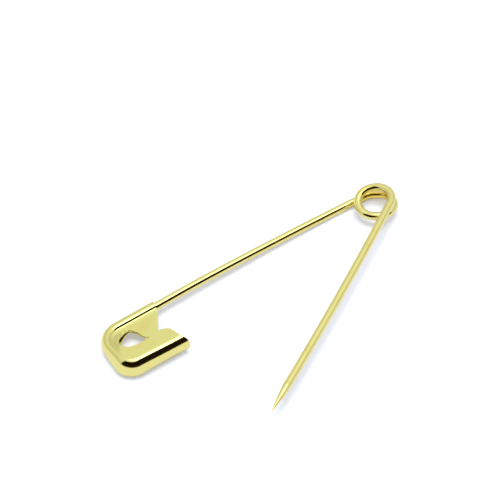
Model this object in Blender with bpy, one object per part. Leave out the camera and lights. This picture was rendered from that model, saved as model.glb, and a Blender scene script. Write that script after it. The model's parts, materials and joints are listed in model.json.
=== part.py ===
"""Open safety pin: one sprung wire and one folded sheet clasp.

Everything is in metres with +Z up. The pin is drawn about the axis of its
coil: the fixed arm runs along +X to the clasp and the needle stands open
towards +Y. At the end the whole pin is carried so that the middle of its
bounding box, at the height that it lies on, is the origin.
"""

import math

import bpy
from mathutils import Matrix, Vector

MM = 0.001

# Wire
WIRE_DIAMETER = 1.35 * MM
WIRE_BEVEL_RESOLUTION = 4
SPLIT_GAP = 0.06 * MM

# Coil
COIL_RADIUS = 2.85 * MM
COIL_FLARE = 0.36 * MM
COIL_FLARE_TURN = math.radians(40.0)
COIL_LEAN = 0.77 * MM
COIL_LEAN_TOWARDS = math.radians(194.0)
COIL_LEAN_STARTS = math.radians(57.0)
COIL_CLIMB = 3.24 * MM
COIL_POINTS_PER_TURN = 24

# Height of the coil's wire at even steps from the needle round to the arm, as
# shares of its climb. The first and the last share only steer the curve's ends.
COIL_HEIGHT_SHARES = (
    1.040,
    1.000,
    0.975,
    0.775,
    0.577,
    0.450,
    0.449,
    0.353,
    0.177,
    0.000,
    0.177,
)

# Fixed arm
ARM_LENGTH = 41.34 * MM
ARM_BOW = 3.09 * MM
ARM_BOW_POWER = 1.35
ARM_IN_CLASP = 7.3 * MM
ARM_STEP = 2.4 * MM

# Needle
NEEDLE_LENGTH = 46.2 * MM
NEEDLE_OPEN_ANGLE = math.radians(33.2)
NEEDLE_SLOPE = math.radians(-1.3)
NEEDLE_BOW = 0.3 * MM
NEEDLE_STEPS = 9
POINT_LENGTH = 5.2 * MM
POINT_TIP_RADIUS = 0.03 * MM
POINT_STEPS = 8
POINT_FULLNESS = 0.8

# Clasp sheet
SHEET_THICKNESS = 0.25 * MM
CLASP_HEIGHT = 3.6 * MM
CLASP_LENGTH = 12.2 * MM
CLASP_TURN = math.radians(4.8)
CLASP_WIDTH = 10.6 * MM
CLASP_NARROWING = 0.35 * MM
NOSE_RAKE = 0.8 * MM
NOSE_RADIUS_BY_ARM = 4.2 * MM
NOSE_RADIUS_BY_CHANNEL = 3.2 * MM
FOLD_DEPTH = 2.15 * MM
FOLD_DEPTH_AT_NOSE = 1.75 * MM
FOLD_SQUARENESS = 2.15
MOUTH_SLANT = 0.9 * MM
MOUTH_SLANT_RUN_SHARE = 0.2
TAB_SLANT = 0.4 * MM
TAB_SLANT_RUN_SHARE = 0.12
CRIMP_CLEARANCE = 0.06 * MM
CRIMP_SEAM = 0.25 * MM
UPPER_WRAP_END = math.radians(52.0)
UPPER_CREASE_RUN = 0.17 * MM
LOWER_WRAP_END = math.radians(-12.0)
LOWER_CREASE_RUN = 0.1 * MM
WEB_RISE = 0.3 * MM
PINCH_GAP = 0.05 * MM

# Inner edge of the sheet in plan, from the front corner of the tab round the
# hole to the lobe at the mouth. Each place is a share of the clasp's length
# from the mouth and a share of its width from the outside of the crimp.
INNER_EDGE_SHARES = (
    (0.234, 0.550),
    (0.336, 0.568),
    (0.406, 0.512),
    (0.443, 0.385),
    (0.492, 0.286),
    (0.574, 0.272),
    (0.672, 0.314),
    (0.746, 0.375),
    (0.783, 0.465),
    (0.762, 0.550),
    (0.693, 0.611),
    (0.574, 0.634),
    (0.426, 0.630),
    (0.265, 0.608),
    (0.189, 0.621),
    (0.119, 0.672),
)

# Where along the rim the pinched limb opens out into the hollow channel
OPENING_STARTS_SHARE = 0.27
OPENING_ENDS_SHARE = 0.62

RIM_STATIONS = 50
CORNER_POINTS = 12
FOLD_STEPS = 9
FLAT_STEPS = 4

# Joint axes: the coil winds about an axis that leans a little, so that the
# needle rises over the clasp as it closes. The hook axis runs from the
# needle's root to a place beside its point, which it turns round as it drops
# through the hole and springs out under the lip.
SWING_TILT = math.radians(4.083)
SWING_TILT_TOWARDS = math.radians(106.7)
HOOK_OUTWARD = 1.953 * MM
HOOK_DOWN = 0.799 * MM

WIRE_COLOUR = (0.86, 0.74, 0.32, 1.0)
CLASP_COLOUR = (0.84, 0.76, 0.38, 1.0)
WIRE_ROUGHNESS = 0.18
CLASP_ROUGHNESS = 0.24


def smooth_share(value):
    """Ease from 0 to 1 with level ends."""
    held = min(max(value, 0.0), 1.0)
    return held * held * (3 - 2 * held)


def even_shares(steps):
    """Evenly spaced shares from 0 to 1."""
    return [index / steps for index in range(steps + 1)]


def heading(angle, slope=0.0):
    """Unit vector at an angle in plan and a slope above the table."""
    level = math.cos(slope)
    return Vector((math.cos(angle) * level, math.sin(angle) * level, math.sin(slope)))


def smooth_curve(held, share):
    """Curve through all values but the first and the last, which steer its ends."""
    spans = len(held) - 3
    reach = share * spans
    index = min(int(reach), spans - 1)
    part = reach - index
    first, second, third, fourth = held[index:index + 4]
    slope_in = (third - first) / 2
    slope_out = (fourth - second) / 2
    square = part * part
    cube = square * part
    return (
        second * (2 * cube - 3 * square + 1)
        + slope_in * (cube - 2 * square + part)
        + third * (3 * square - 2 * cube)
        + slope_out * (cube - square)
    )


def wire_radius():
    return WIRE_DIAMETER / 2


# Scene


def clear_scene():
    for item in list(bpy.data.objects):
        bpy.data.objects.remove(item, do_unlink=True)


def plated_metal(name, colour, roughness):
    material = bpy.data.materials.new(name)
    material.use_nodes = True
    shader = material.node_tree.nodes["Principled BSDF"]
    shader.inputs["Base Color"].default_value = colour
    shader.inputs["Metallic"].default_value = 1.0
    shader.inputs["Roughness"].default_value = roughness
    return material


def add_empty(name, parent, place):
    """Empty at a place in the pin's own frame, under its parent."""
    empty = bpy.data.objects.new(name, None)
    bpy.context.scene.collection.objects.link(empty)
    empty.empty_display_size = COIL_RADIUS
    put_under(empty, parent, place)
    return empty


def add_piece(name, data, parent, material):
    """Object whose mesh or curve is drawn in the pin's own frame."""
    piece = bpy.data.objects.new(name, data)
    bpy.context.scene.collection.objects.link(piece)
    put_under(piece, parent, Matrix.Identity(4))
    data.materials.append(material)
    return piece


def put_under(item, parent, place):
    """Parent an object and keep it at a place in the pin's own frame."""
    item.parent = parent
    bpy.context.view_layer.update()
    carried = parent.matrix_world if parent else Matrix.Identity(4)
    item.matrix_parent_inverse = Matrix.Identity(4)
    item.matrix_basis = carried.inverted() @ place


def wire_curve(name, points, radius_shares):
    """Sweep the wire's round section along points and close its ends."""
    curve = bpy.data.curves.new(name, "CURVE")
    curve.dimensions = "3D"
    curve.bevel_depth = wire_radius()
    curve.bevel_resolution = WIRE_BEVEL_RESOLUTION
    curve.use_fill_caps = True
    spline = curve.splines.new("POLY")
    spline.points.add(len(points) - 1)
    for target, point, share in zip(spline.points, points, radius_shares):
        target.co = (point.x, point.y, point.z, 1.0)
        target.radius = share
    return curve


# Coil, from the needle on the upper turn round and down to the fixed arm


def needle_side():
    """Angle round the coil at which the needle leaves it."""
    return NEEDLE_OPEN_ANGLE + math.pi / 2


def arm_side():
    """Angle round the coil at which the fixed arm leaves it."""
    return 3 * math.pi / 2


def coil_turn():
    """Whole angle that the wire turns through, from the needle to the arm."""
    return 2 * math.pi + arm_side() - needle_side()


def coil_height(turned):
    """Height of the wire's centre once it has turned by an angle."""
    return wire_radius() + COIL_CLIMB * smooth_curve(COIL_HEIGHT_SHARES, turned / coil_turn())


def coil_point(turned):
    """Centre of the wire once it has turned by an angle from the needle.

    The wire winds down, leans to one side on its way and flares outwards
    where it leaves for the arm.
    """
    leaning = coil_turn() - 2 * COIL_LEAN_STARTS
    lean = COIL_LEAN * smooth_share((turned - COIL_LEAN_STARTS) / leaning)
    flare = COIL_FLARE * smooth_share(1 - (coil_turn() - turned) / COIL_FLARE_TURN)
    around = heading(needle_side() + turned) * (COIL_RADIUS + flare)
    height = Vector((0.0, 0.0, coil_height(turned)))
    return around + heading(COIL_LEAN_TOWARDS) * lean + height


def coil_path():
    """A straight stub of one diameter, the turns, and another such stub."""
    steps = round(COIL_POINTS_PER_TURN * coil_turn() / (2 * math.pi))
    turns = [coil_point(coil_turn() * share) for share in even_shares(steps)]
    needle_stub = turns[0] + heading(NEEDLE_OPEN_ANGLE, NEEDLE_SLOPE) * WIRE_DIAMETER
    arm_stub = turns[-1] + heading(0.0) * WIRE_DIAMETER
    return [needle_stub] + turns + [arm_stub]


def least_self_gap(points):
    """Least clear gap between stretches of wire half a turn or more apart."""
    apart = COIL_POINTS_PER_TURN // 2
    nearest = min(
        (first - second).length
        for index, first in enumerate(points)
        for second in points[index + apart:]
    )
    return nearest - WIRE_DIAMETER


def make_coil(parent):
    points = coil_path()
    print(f"spring_coil: least gap to itself {least_self_gap(points) / MM:.3f} mm")
    curve = wire_curve("spring_coil", points, [1.0] * len(points))
    material = plated_metal("coil_brass", WIRE_COLOUR, WIRE_ROUGHNESS)
    return add_piece("spring_coil", curve, parent, material)


# Needle


def needle_root():
    return coil_path()[0] + heading(NEEDLE_OPEN_ANGLE, NEEDLE_SLOPE) * SPLIT_GAP


def needle_tip():
    length = NEEDLE_LENGTH - WIRE_DIAMETER - SPLIT_GAP
    return needle_root() + heading(NEEDLE_OPEN_ANGLE, NEEDLE_SLOPE) * length


def needle_point(share):
    """Centre of the needle's wire at a share of its length, bowed outwards."""
    outward = heading(NEEDLE_OPEN_ANGLE + math.pi / 2)
    bow = NEEDLE_BOW * 4 * share * (1 - share)
    return needle_root().lerp(needle_tip(), share) + outward * bow


def needle_path():
    """Points from the coil to the sharp point, and the wire's radius shares."""
    shoulder = 1 - POINT_LENGTH / (needle_tip() - needle_root()).length
    points = [needle_point(shoulder * share) for share in even_shares(NEEDLE_STEPS)]
    shares = [1.0] * len(points)
    tip_share = POINT_TIP_RADIUS / wire_radius()
    for share in even_shares(POINT_STEPS)[1:]:
        points.append(needle_point(shoulder + (1 - shoulder) * share))
        shares.append(max((1 - share) ** POINT_FULLNESS, tip_share))
    return points, shares


def make_needle(parent):
    points, shares = needle_path()
    curve = wire_curve("needle_arm", points, shares)
    material = plated_metal("needle_brass", WIRE_COLOUR, WIRE_ROUGHNESS)
    return add_piece("needle_arm", curve, parent, material)


# Fixed arm


def arm_start():
    return coil_path()[-1] + heading(0.0) * SPLIT_GAP


def arm_span():
    return ARM_LENGTH - arm_start().x


def clasp_place():
    """The clasp's frame: at its mouth, on the wire and along it."""
    mouth = Vector((ARM_LENGTH, arm_start().y + ARM_BOW, CLASP_HEIGHT / 2))
    return Matrix.Translation(mouth) @ Matrix.Rotation(CLASP_TURN, 4, "Z")


def fixed_arm_path():
    """Bowed in plan, and rising from the coil to the clasp's middle."""
    start = arm_start()
    rise = CLASP_HEIGHT / 2 - start.z
    points = []
    for share in even_shares(round(arm_span() / ARM_STEP)):
        bow = ARM_BOW * share ** ARM_BOW_POWER
        run = Vector((arm_span() * share, bow, rise * smooth_share(share)))
        points.append(start + run)
    points.append(clasp_place() @ Vector((ARM_IN_CLASP, 0.0, 0.0)))
    return points


def make_fixed_arm(parent):
    points = fixed_arm_path()
    curve = wire_curve("fixed_arm", points, [1.0] * len(points))
    material = plated_metal("fixed_arm_brass", WIRE_COLOUR, WIRE_ROUGHNESS)
    return add_piece("fixed_arm", curve, parent, material)


# Clasp: a section of sheet swept along its outer rim, in the clasp's frame.
# Its plan has three lines: the rim, the knee where the fold meets the flat,
# and the inner edge.


def crimp_radius():
    """Radius of the middle of the sheet where it wraps the arm."""
    return wire_radius() + CRIMP_CLEARANCE + SHEET_THICKNESS / 2


def rounded_corner(before, corner, after, radius):
    """Arc that rounds one corner of an outline which turns left."""
    towards = (before - corner).normalized()
    away = (after - corner).normalized()
    half = towards.angle(away) / 2
    middle = corner + (towards + away).normalized() * (radius / math.sin(half))
    first = corner + towards * (radius / math.tan(half)) - middle
    sweep = math.pi - 2 * half
    return [
        middle + Matrix.Rotation(sweep * share, 3, "Z") @ first
        for share in even_shares(CORNER_POINTS)
    ]


def plan_line(by_arm, at_nose, by_channel):
    """Plan line from mouth to mouth, inset from the clasp's outside.

    The three insets are those on the arm's side, at the nose and on the
    channel's side. The two corners are arcs about the same middles.
    """
    outside = -crimp_radius() - SHEET_THICKNESS / 2
    low = outside + by_arm
    high = outside + CLASP_WIDTH - by_channel
    nose = CLASP_LENGTH - at_nose
    start = Vector((0.0, low, 0.0))
    near = Vector((nose - NOSE_RAKE, low, 0.0))
    far = Vector((nose, high - CLASP_NARROWING, 0.0))
    end = Vector((0.0, high, 0.0))
    near_corner = rounded_corner(start, near, far, NOSE_RADIUS_BY_ARM - at_nose)
    far_corner = rounded_corner(near, far, end, NOSE_RADIUS_BY_CHANNEL - at_nose)
    return [start] + near_corner + far_corner + [end]


def rim_line():
    """Middle of the sheet at the outside of the fold."""
    edge = SHEET_THICKNESS / 2
    return plan_line(edge, edge, edge)


def knee_line():
    """Where the fold meets the flat sheet, or the wrap meets the web."""
    wrap = SHEET_THICKNESS / 2 + 2 * crimp_radius() + CRIMP_SEAM
    return plan_line(wrap, FOLD_DEPTH_AT_NOSE, FOLD_DEPTH)


def line_lengths(points):
    """Distance along a line at each of its points."""
    lengths = [0.0]
    for first, second in zip(points, points[1:]):
        lengths.append(lengths[-1] + (second - first).length)
    return lengths


def place_on_lines(share, rim, knee):
    """The rim at a share of its length, and the knee that belongs to it."""
    lengths = line_lengths(rim)
    wanted = share * lengths[-1]
    index = 0
    while index < len(lengths) - 2 and lengths[index + 1] < wanted:
        index += 1
    part = (wanted - lengths[index]) / (lengths[index + 1] - lengths[index])
    on_rim = rim[index].lerp(rim[index + 1], part)
    on_knee = knee[index].lerp(knee[index + 1], part)
    return on_rim, on_knee


def inner_edge(share):
    """The inner edge in plan at a share of its run of places."""
    outside = -crimp_radius() - SHEET_THICKNESS / 2
    places = [
        Vector((along * CLASP_LENGTH, outside + across * CLASP_WIDTH, 0.0))
        for along, across in INNER_EDGE_SHARES
    ]
    before = places[0] * 2 - places[1]
    after = places[-1] * 2 - places[-2]
    return smooth_curve([before] + places + [after], share)


def web_height(side):
    """Height of one sheet of the pinched web, side 1 the upper, -1 the lower."""
    return WEB_RISE + side * (SHEET_THICKNESS + PINCH_GAP) / 2


def crimp_fold(side):
    """One half of the wrap round the wire, from its seam to the outside.

    Each point is a share of the way from the knee to the rim, and a height.
    """
    radius = crimp_radius()
    knee = radius + CRIMP_SEAM
    begins = UPPER_WRAP_END if side > 0 else LOWER_WRAP_END
    crease = UPPER_CREASE_RUN if side > 0 else LOWER_CREASE_RUN
    ends = side * math.pi
    height = web_height(side)
    seam = radius * math.cos(begins) + crease
    fold = [(0.0, height), ((knee - seam) / (knee + radius), height)]
    for share in even_shares(FOLD_STEPS - 2):
        angle = begins + (ends - begins) * share
        across = (knee - radius * math.cos(angle)) / (knee + radius)
        fold.append((across, radius * math.sin(angle)))
    return fold


def channel_fold(side):
    """One half of the channel's fold, a squared-off ellipse."""
    height = side * (CLASP_HEIGHT - SHEET_THICKNESS) / 2
    power = 2 / FOLD_SQUARENESS
    fold = []
    for share in even_shares(FOLD_STEPS - 1):
        angle = share * math.pi / 2
        fold.append((math.sin(angle) ** power, height * math.cos(angle) ** power))
    return fold + [(1.0, 0.0)]


def half_section(side, opened, on_edge, on_knee, on_rim):
    """Points of one sheet across a station, from the inner edge to the rim."""
    fold = [
        (near[0] * (1 - opened) + far[0] * opened, near[1] * (1 - opened) + far[1] * opened)
        for near, far in zip(crimp_fold(side), channel_fold(side))
    ]
    level = Vector((0.0, 0.0, fold[0][1]))
    flat = [on_edge.lerp(on_knee, part) + level for part in even_shares(FLAT_STEPS)[:-1]]
    return flat + [
        on_knee.lerp(on_rim, across) + Vector((0.0, 0.0, height)) for across, height in fold
    ]


def sheet_section(share, rim, knee):
    """Points of the sheet's middle across one station, top edge to bottom."""
    opening = OPENING_ENDS_SHARE - OPENING_STARTS_SHARE
    opened = smooth_share((share - OPENING_STARTS_SHARE) / opening)
    on_rim, on_knee = place_on_lines(share, rim, knee)
    to_mouth = (1 - share) / MOUTH_SLANT_RUN_SHARE
    on_knee.x += MOUTH_SLANT * smooth_share(1 - to_mouth)
    on_knee.x += TAB_SLANT * smooth_share(1 - share / TAB_SLANT_RUN_SHARE)
    on_edge = inner_edge(share)
    upper = half_section(1, opened, on_edge, on_knee, on_rim)
    lower = half_section(-1, opened, on_edge, on_knee, on_rim)
    return upper + lower[-2::-1]


def clasp_mesh():
    """Grid of stations along the rim by points across the sheet."""
    rim = rim_line()
    knee = knee_line()
    place = clasp_place()
    rows = [
        [place @ point for point in sheet_section(share, rim, knee)]
        for share in even_shares(RIM_STATIONS)
    ]
    across = len(rows[0])
    faces = []
    for row in range(len(rows) - 1):
        for column in range(across - 1):
            corner = row * across + column
            faces.append((corner, corner + 1, corner + across + 1, corner + across))
    mesh = bpy.data.meshes.new("clasp_cap")
    mesh.from_pydata([point for row in rows for point in row], [], faces)
    mesh.shade_smooth()
    return mesh


def make_clasp(parent):
    material = plated_metal("clasp_brass", CLASP_COLOUR, CLASP_ROUGHNESS)
    clasp = add_piece("clasp_cap", clasp_mesh(), parent, material)
    sheet = clasp.modifiers.new("sheet", "SOLIDIFY")
    sheet.thickness = SHEET_THICKNESS
    sheet.offset = 0.0
    sheet.use_even_offset = False
    return clasp


# Joints and the pin's place


def axis_place(point, direction):
    """Frame at a point with its Z along an axis."""
    turn = direction.to_track_quat("Z", "Y").to_matrix().to_4x4()
    return Matrix.Translation(point) @ turn


def swing_place():
    """Through the middle of the coil at the needle's height, leaning a little."""
    middle = Vector((0.0, 0.0, needle_root().z))
    return axis_place(middle, heading(SWING_TILT_TOWARDS, math.pi / 2 - SWING_TILT))


def hook_place():
    """From beside the point back to the needle's root."""
    outward = heading(NEEDLE_OPEN_ANGLE + math.pi / 2) * HOOK_OUTWARD
    beside = needle_tip() + outward - Vector((0.0, 0.0, HOOK_DOWN))
    return axis_place(needle_root(), needle_root() - beside)


def lowest_middle(pieces):
    """Middle of the bounding box of all pieces, at its lowest height."""
    scene = bpy.context.evaluated_depsgraph_get()
    corners = []
    for piece in pieces:
        shape = piece.evaluated_get(scene)
        mesh = shape.to_mesh()
        corners += [piece.matrix_world @ vertex.co for vertex in mesh.vertices]
        shape.to_mesh_clear()
    low = Vector([min(corner[axis] for corner in corners) for axis in range(3)])
    high = Vector([max(corner[axis] for corner in corners) for axis in range(3)])
    middle = (low + high) / 2
    return Vector((middle.x, middle.y, low.z))


def main():
    clear_scene()
    pin = add_empty("safety_pin", None, Matrix.Identity(4))
    swing = add_empty("needle_swing_axis", pin, swing_place())
    hook = add_empty("needle_hook_axis", swing, hook_place())
    pieces = [make_clasp(pin), make_fixed_arm(pin), make_coil(swing), make_needle(hook)]
    bpy.context.view_layer.update()
    pin.location = -lowest_middle(pieces)
    bpy.context.view_layer.update()


main()
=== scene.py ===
"""Looks of an open safety pin: one sprung wire with a brass finish and one folded sheet clasp.

Everything is in metres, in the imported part's frame: +X along the fixed arm from
the coil to the clasp, +Y to the side the needle opens to, +Z up from the table.
The wire and the sheet are drawn in the pin's own frame, whose origin is on the
table under the middle of the coil.
"""

import json
import logging
import math
from dataclasses import dataclass
from enum import Enum
from typing import Iterable, Sequence

import bpy
from mathutils import Matrix, Vector


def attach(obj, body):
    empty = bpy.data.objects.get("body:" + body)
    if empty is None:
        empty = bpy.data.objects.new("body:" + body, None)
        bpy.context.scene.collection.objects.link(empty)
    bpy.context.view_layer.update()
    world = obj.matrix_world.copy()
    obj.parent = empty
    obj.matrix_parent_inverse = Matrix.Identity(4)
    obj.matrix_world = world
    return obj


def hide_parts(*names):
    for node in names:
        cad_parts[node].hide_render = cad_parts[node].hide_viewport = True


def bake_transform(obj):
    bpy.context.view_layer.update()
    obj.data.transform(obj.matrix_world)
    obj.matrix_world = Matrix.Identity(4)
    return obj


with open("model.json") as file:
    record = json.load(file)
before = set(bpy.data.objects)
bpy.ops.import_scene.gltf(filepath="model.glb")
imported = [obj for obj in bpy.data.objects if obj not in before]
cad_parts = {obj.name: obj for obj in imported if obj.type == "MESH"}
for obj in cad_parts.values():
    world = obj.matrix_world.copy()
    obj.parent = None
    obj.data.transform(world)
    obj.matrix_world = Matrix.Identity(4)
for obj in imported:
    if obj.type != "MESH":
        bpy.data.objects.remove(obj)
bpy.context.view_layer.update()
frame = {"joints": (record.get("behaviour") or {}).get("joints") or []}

MM = 0.001
WIRE_PLACE = "wire_place"

log = logging.getLogger("safety_pin")


class Body(Enum):
    """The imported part's bodies, by the names of behaviour.bodies."""

    CLASP_AND_ARM = "clasp_and_arm"
    COIL = "coil"
    NEEDLE = "needle"


class Grain(Enum):
    """Which way the fine marks of a finish run."""

    DRAWN = "along the wire, as it was drawn"
    ROLLED = "along the sheet, as it was rolled and folded"


# Small helpers


def smooth_share(value: float) -> float:
    """Ease from 0 to 1 with level ends.

    Args:
        value: A share, held to the range 0 to 1.

    Returns:
        The eased share.
    """
    held = min(max(value, 0.0), 1.0)
    return held * held * (3 - 2 * held)


def even_shares(steps: int) -> list[float]:
    """Evenly spaced shares.

    Args:
        steps: How many equal steps there are from 0 to 1.

    Returns:
        The shares, both ends included.
    """
    return [index / steps for index in range(steps + 1)]


def smooth_curve(held: Sequence, share: float) -> object:
    """Curve through all values but the first and the last, which steer its ends.

    Args:
        held: Numbers or vectors, at even steps.
        share: Share of the way along the curve.

    Returns:
        The value there.
    """
    spans = len(held) - 3
    reach = share * spans
    index = min(int(reach), spans - 1)
    part = reach - index
    first, second, third, fourth = held[index : index + 4]
    slope_in = (third - first) / 2
    slope_out = (fourth - second) / 2
    square = part * part
    cube = square * part
    return (
        second * (2 * cube - 3 * square + 1)
        + slope_in * (cube - 2 * square + part)
        + third * (3 * square - 2 * cube)
        + slope_out * (cube - square)
    )


def heading(angle: float, slope: float = 0.0) -> Vector:
    """Unit vector at an angle in plan and a slope above the table.

    Args:
        angle: Angle from +X towards +Y, in radians.
        slope: Angle above the table, in radians.

    Returns:
        The unit vector.
    """
    level = math.cos(slope)
    return Vector((math.cos(angle) * level, math.sin(angle) * level, math.sin(slope)))


def coil_axis_on_table() -> Vector:
    """Where the coil's axis meets the table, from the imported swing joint.

    Returns:
        The origin of the pin's own frame, in the part's frame.
    """
    swing = next(joint for joint in frame["joints"] if joint["name"] == "needle_swing")
    return Vector((swing["pos_m"][0], swing["pos_m"][1], 0.0))


def link(name: str, data: bpy.types.ID) -> bpy.types.Object:
    """Make an object and put it in the scene, at the origin.

    Args:
        name: The piece's name.
        data: Its mesh, curve, lamp or camera.

    Returns:
        The new object.
    """
    made = bpy.data.objects.new(name, data)
    bpy.context.scene.collection.objects.link(made)
    return made


def settle(piece: bpy.types.Object) -> bpy.types.Object:
    """Turn a piece with live modifiers into a plain mesh.

    Args:
        piece: The object, whose modifiers are all removed.

    Returns:
        The same object, with the evaluated mesh.
    """
    graph = bpy.context.evaluated_depsgraph_get()
    graph.update()
    mesh = bpy.data.meshes.new_from_object(
        piece.evaluated_get(graph), preserve_all_data_layers=True, depsgraph=graph
    )
    mesh.name = piece.name
    piece.modifiers.clear()
    piece.data = mesh
    return piece


# Shader maths


class Signal:
    """A number that flows through a shader, so that sums on it read as Python."""

    def __init__(self, graph: "Graph", socket: bpy.types.NodeSocket) -> None:
        """Keep the graph and the socket that the number comes from."""
        self.graph = graph
        self.socket = socket

    def _maths(self, operation: str, *values: "Signal | float") -> "Signal":
        """Add one Math node and give back its result."""
        node = self.graph.add("ShaderNodeMath", {"operation": operation}, dict(enumerate(values)))
        return Signal(self.graph, node.outputs[0])

    def __add__(self, other: "Signal | float") -> "Signal":
        """Sum."""
        return self._maths("ADD", self, other)

    def __radd__(self, other: float) -> "Signal":
        """Sum, with the number first."""
        return self._maths("ADD", other, self)

    def __sub__(self, other: "Signal | float") -> "Signal":
        """Difference."""
        return self._maths("SUBTRACT", self, other)

    def __rsub__(self, other: float) -> "Signal":
        """Difference, with the number first."""
        return self._maths("SUBTRACT", other, self)

    def __mul__(self, other: "Signal | float") -> "Signal":
        """Product."""
        return self._maths("MULTIPLY", self, other)

    def __rmul__(self, other: float) -> "Signal":
        """Product, with the number first."""
        return self._maths("MULTIPLY", other, self)

    def absolute(self) -> "Signal":
        """The number without its sign."""
        return self._maths("ABSOLUTE", self)

    def arcsine(self) -> "Signal":
        """The angle whose sine this is, in radians."""
        return self._maths("ARCSINE", self)

    def turned_from(self, ahead: "Signal") -> "Signal":
        """The angle whose tangent is this over another number, in radians."""
        return self._maths("ARCTAN2", self, ahead)

    def over(self, low: float, high: float) -> "Signal":
        """Share of the way from low to high, eased and held to 0 to 1.

        Args:
            low: The value at which the share is 0.
            high: The value at which the share is 1.

        Returns:
            The eased share.
        """
        node = self.graph.add(
            "ShaderNodeMapRange",
            {"interpolation_type": "SMOOTHSTEP"},
            {"Value": self, "From Min": low, "From Max": high},
        )
        return Signal(self.graph, node.outputs["Result"])


class Graph:
    """The node tree of one material or of the world."""

    def __init__(self, tree: bpy.types.NodeTree) -> None:
        """Keep the tree and clear it."""
        self.tree = tree
        self.tree.nodes.clear()

    def add(self, kind: str, settings: dict | None = None, sockets: dict | None = None) -> bpy.types.Node:
        """Add a node.

        Args:
            kind: The node's type.
            settings: Its own settings, which are set first.
            sockets: Values or links of its input sockets, by name or number.

        Returns:
            The new node.
        """
        node = self.tree.nodes.new(kind)
        for name, value in (settings or {}).items():
            setattr(node, name, value)
        for name, value in (sockets or {}).items():
            self.feed(node.inputs[name], value)
        return node

    def feed(self, socket: bpy.types.NodeSocket, value: object) -> None:
        """Set a socket's value or link it.

        Args:
            socket: The input socket.
            value: A Signal, another node's output socket, or a plain value.
        """
        source = value.socket if isinstance(value, Signal) else value
        if isinstance(source, bpy.types.NodeSocket):
            self.tree.links.new(source, socket)
        else:
            socket.default_value = source

    def signal(self, node: bpy.types.Node, output: str | int = 0) -> Signal:
        """One output of a node as a number."""
        return Signal(self, node.outputs[output])

    def vector(self, operation: str, first: object, second: object = None) -> bpy.types.Node:
        """Add one Vector Math node.

        Args:
            operation: What the node works out.
            first: The first vector, or a socket.
            second: The second vector, or a socket, where the operation takes two.

        Returns:
            The new node.
        """
        sockets = {0: first} if second is None else {0: first, 1: second}
        return self.add("ShaderNodeVectorMath", {"operation": operation}, sockets)

    def colour_mix(self, share: Signal, first: object, second: object) -> bpy.types.NodeSocket:
        """Mix two colours.

        Args:
            share: How much of the second colour there is.
            first: The first colour, or a socket.
            second: The second colour, or a socket.

        Returns:
            The mixed colour's socket.
        """
        # Inputs 6 and 7 are the Mix node's two colours, and output 2 is the mixed one.
        node = self.add("ShaderNodeMix", {"data_type": "RGBA"}, {0: share, 6: first, 7: second})
        return node.outputs[2]


@dataclass(frozen=True)
class PaintedCoilReflection:
    """Painted reflection inside a coil: a deeper, more orange colour painted where its turns would mirror
    each other.

    Attributes:
        middle: The coil's middle on the table, in the part's frame.
        reach: Distances from its axis at which the painted reflection is full and gone.
        top: Heights at which the painted reflection is full and gone.
        side: Angle in plan of the side where the turns lie over each other.
        side_run: How far towards that side the painted reflection starts and is full.
        colour: The painted reflection's colour where it is full.
        share: How much of that colour there is at most.
    """

    middle: Vector
    reach: tuple[float, float] = (2.9 * MM, 3.9 * MM)
    top: tuple[float, float] = (3.1 * MM, 4.1 * MM)
    side: float = math.radians(235.0)
    side_run: tuple[float, float] = (0.1 * MM, 2.1 * MM)
    colour: tuple[float, float, float, float] = (0.86, 0.62, 0.1, 1.0)
    share: float = 0.7

    def mix(self, graph: Graph, plating: bpy.types.NodeSocket) -> bpy.types.NodeSocket:
        """Paint the turns' reflection of each other into the plating's colour inside the coil.

        Args:
            graph: The material's nodes.
            plating: The plating's colour.

        Returns:
            The colour with the painted reflection, as a socket.
        """
        place = graph.add("ShaderNodeTexCoord").outputs["Object"]
        off = graph.vector("SUBTRACT", place, tuple(self.middle)).outputs[0]
        level = graph.vector("MULTIPLY", off, (1.0, 1.0, 0.0)).outputs[0]
        reach = graph.signal(graph.vector("LENGTH", level), "Value")
        height = graph.signal(graph.add("ShaderNodeSeparateXYZ", None, {0: off}), "Z")
        towards = graph.signal(graph.vector("DOT_PRODUCT", off, tuple(heading(self.side))), "Value")
        # Painted reflection: strongest inside the coil and below its top turn, on the side where the
        # turns lie over each other.
        inside = (1.0 - reach.over(*self.reach)) * (1.0 - height.over(*self.top))
        inside = inside * towards.over(*self.side_run)
        return graph.colour_mix(inside * self.share, plating, self.colour)


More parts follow.
